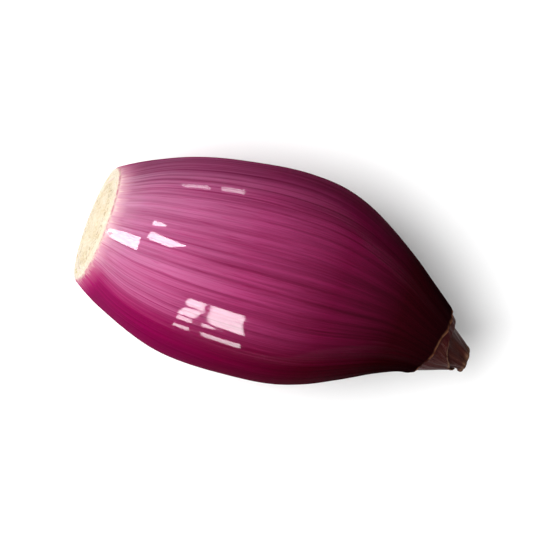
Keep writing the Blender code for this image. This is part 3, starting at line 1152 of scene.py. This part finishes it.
dried, tree, shader = new_material("dried neck")
meridian = attribute(tree, "meridian", "Vector")
lip = attribute(tree, "lip")
along = put(tree, "SeparateXYZ", {0: meridian}).outputs[2]
veins = use_group(tree, veins_group, {"Meridian": meridian, "Fineness": 7.0, "Stretch": 1.2})
grain = use_group(tree, grain_group, {"Size": NECK_GRAIN})
colour = blend(tree, times(tree, veins["Streaks"], 0.6), ramp(tree, along, NECK), NECK_LIGHT)
papery = times(tree, ease(tree, lip, 0.35, 1.0), ease(tree, veins["Streaks"], 0.0, 0.9, 0.15, 1.0))
colour = blend(tree, papery, colour, PAPER)
relief = plus(tree, veins["Relief"], times(tree, grain["Relief"], 0.3))
bump = put(tree, "Bump", {"Height": relief, "Strength": 0.5, "Distance": NECK_RELIEF})
feed(tree, shader, {
    "Base Color": colour,
    "Roughness": ease(tree, lip, 0.0, 1.0, NECK_ROUGHNESS, PAPER_ROUGHNESS),
    "Specular IOR Level": 0.12,
    "Normal": bump.outputs[0],
})
for piece in (second_scale, third_scale):
    piece.data.materials.append(dried)
print("material:", dried.name, "with", len(tree.nodes), "nodes")

# %% [markdown]
# ## Woody plate
#
# The plate is pale and fibrous, with two sizes of mottling. New dots could be scattered with a Voronoi
# texture, but they would miss the bumps. The masks that raised the relief are read from the mesh, so the
# colour sits exactly on it: yellower at the strands, brown in the pits, a paler collar round each pit.

# %% Root plate material
CREAM = (0.65, 0.57, 0.44, 1.0)
YELLOW = (0.54, 0.43, 0.25, 1.0)
PALE_EDGE = (0.69, 0.62, 0.49, 1.0)
BROWN = (0.20, 0.095, 0.034, 1.0)
PLATE_TINTS = (("collar", 0.35, PALE_EDGE), ("strand", 0.75, YELLOW), ("pit", 0.7, BROWN))
MOTTLE_SIZE, FIBRE_SIZE = 2.4 * MM, 0.45 * MM
PLATE_RELIEF = 0.2 * MM
PLATE_GLOW_COLOURS = (1.0, 0.6, 0.3)
PLATE_GLOW_DEPTH = 1.2 * MM

woody, tree, shader = new_material("woody root plate")
coarse = use_group(tree, grain_group, {"Size": MOTTLE_SIZE})
grain = use_group(tree, grain_group, {"Size": FIBRE_SIZE, "Detail": 4.0})
share = attribute(tree, "share")
mottle = plus(tree, times(tree, coarse["Mottle"], 0.5), times(tree, grain["Mottle"], 0.4))
colour = blend(tree, mottle, CREAM, YELLOW)
speck_band = times(tree, ease(tree, share, 0.55, 0.80), ease(tree, share, 0.97, 0.85))
specks = times(tree, speck_band, ease(tree, grain["Mottle"], 0.55, 0.95))
colour = blend(tree, times(tree, specks, 0.45), colour, BROWN)
colour = blend(tree, ease(tree, share, 0.86, 1.0), colour, PALE_EDGE)
for name, strength, tint in PLATE_TINTS:
    colour = blend(tree, times(tree, attribute(tree, name), strength), colour, tint)
bump = put(tree, "Bump", {"Height": grain["Relief"], "Strength": 0.5, "Distance": PLATE_RELIEF})
feed(tree, shader, {
    "Base Color": colour,
    "Roughness": ease(tree, grain["Mottle"], 0.0, 1.0, 0.42, 0.6),
    "Normal": bump.outputs[0],
    "Subsurface Weight": 0.12,
    "Subsurface Radius": PLATE_GLOW_COLOURS,
    "Subsurface Scale": PLATE_GLOW_DEPTH,
})
root_plate.data.materials.append(woody)
print("material:", woody.name, "with", len(tree.nodes), "nodes")

# %% [markdown]
# ## Table
#
# The photograph has a white ground and hardly any shadow. A white background alone would do for the one
# view, but the bulb would float. The table is a white plane, much larger than the picture, so that no
# edge of it shows from the side. It is rough: a glossy white would mirror the bulb, and paper doesn't.

# %% Table
TABLE_SIZE = 6.0
TABLE_WHITE = (0.93, 0.93, 0.93, 1.0)
TABLE_ROUGHNESS = 0.8

bpy.ops.mesh.primitive_plane_add(size=TABLE_SIZE, location=(0, 0, 0))
table = bpy.context.object
table.name = "table"
white, tree, shader = new_material("white table")
feed(tree, shader, {"Base Color": TABLE_WHITE, "Roughness": TABLE_ROUGHNESS})
table.data.materials.append(white)
print("table:", TABLE_SIZE, "m square")

# %% [markdown]
# ## Light that shapes, and light that shines
#
# A wet thing is lit in two ways. Broad, soft light shapes it, and small bright lamps are mirrored in it.
# One lamp can't do both here: a softbox would be mirrored as a big pale patch, and lamps that are small
# and bright would throw hard shadows. In Cycles a lamp can leave out either part. So a soft key and a
# weak fill light the colours and have no mirror image, and the others have nothing but one.
#
# A lamp's mirror image shows where the surface's normal lies halfway between lamp and camera. With the
# camera overhead, a lamp that stands 60 degrees from straight up shines where the surface leans by 30.
# That gives each lamp its place: a pair of bars near the root, a window of two panes with two strips
# below it low on the belly, and a pair that shows the wet far side when the bulb is seen from behind.
# Each row of the tables gives a lamp's name, its degrees from straight up, its degrees round from +X,
# its width and height in metres, and how bright its face is.

# %% Lamps
AIM = Vector((0.0, 0.0, 0.02))
SOFT_DISTANCE, MIRRORED_DISTANCE = 1.6, 0.6
SOFT_LAMPS = (
    ("soft key", 28, 200, 1.3, 1.3, 5.6),
    ("soft fill", 50, 2, 1.3, 1.3, 0.4),
)
MIRRORED_LAMPS = (
    ("bar by the root", 66, 184, 0.055, 0.22, 46.0),
    ("bar on the belly", 38.5, 165, 0.16, 0.15, 46.0),
    ("left pane", 63, 265, 0.070, 0.27, 40.0),
    ("right pane", 63, 274.5, 0.070, 0.27, 40.0),
    ("left strip", 84.5, 265.5, 0.055, 0.10, 40.0),
    ("right strip", 84.5, 273.5, 0.075, 0.10, 40.0),
    ("right bar behind", 84, 106, 0.06, 0.09, 24.0),
    ("left bar behind", 84, 116, 0.06, 0.09, 24.0),
)


def lamp(name, from_vertical, toward, wide, high, radiance, distance):
    """A rectangular lamp. It stands so many degrees from straight up, toward so many degrees from +X."""
    tilt, way = math.radians(from_vertical), math.radians(toward)
    out = Vector((math.sin(tilt) * math.cos(way), math.sin(tilt) * math.sin(way), math.cos(tilt)))
    bpy.ops.object.light_add(type="AREA", location=AIM + out * distance)
    made = bpy.context.object
    made.name = name
    made.rotation_euler = out.to_track_quat("Z", "Y").to_euler()
    made.data.shape = "RECTANGLE"
    made.data.size, made.data.size_y = wide, high
    made.data.energy = radiance * math.pi * wide * high
    made.visible_camera = False
    return made


for row in SOFT_LAMPS:
    lamp(*row, distance=SOFT_DISTANCE).visible_glossy = False
for row in MIRRORED_LAMPS:
    lamp(*row, distance=MIRRORED_DISTANCE).visible_diffuse = False
print("lamps:", len(SOFT_LAMPS), "soft,", len(MIRRORED_LAMPS), "mirrored")

# %% [markdown]
# ## Sky and picture
#
# A dim white sky fills what the lamps leave dark. The photograph was developed with strong contrast, deep
# reds and a clean white ground. Blender's AgX view would grey the white and mute the reds. The Standard
# view keeps the colours of the materials as they are, and the contrast look does what the photograph's
# own development did.

# %% Sky and picture
SKY_STRENGTH = 0.34
SKY_WHITE = (1.0, 1.0, 1.0, 1.0)

world = bpy.data.worlds.new("soft sky")
world.use_nodes = True
feed(world.node_tree, world.node_tree.nodes["Background"], {
    "Color": SKY_WHITE,
    "Strength": SKY_STRENGTH,
})
bpy.context.scene.world = world
bpy.context.scene.view_settings.view_transform = "Standard"
bpy.context.scene.view_settings.look = "Medium High Contrast"
print("sky strength:", SKY_STRENGTH)
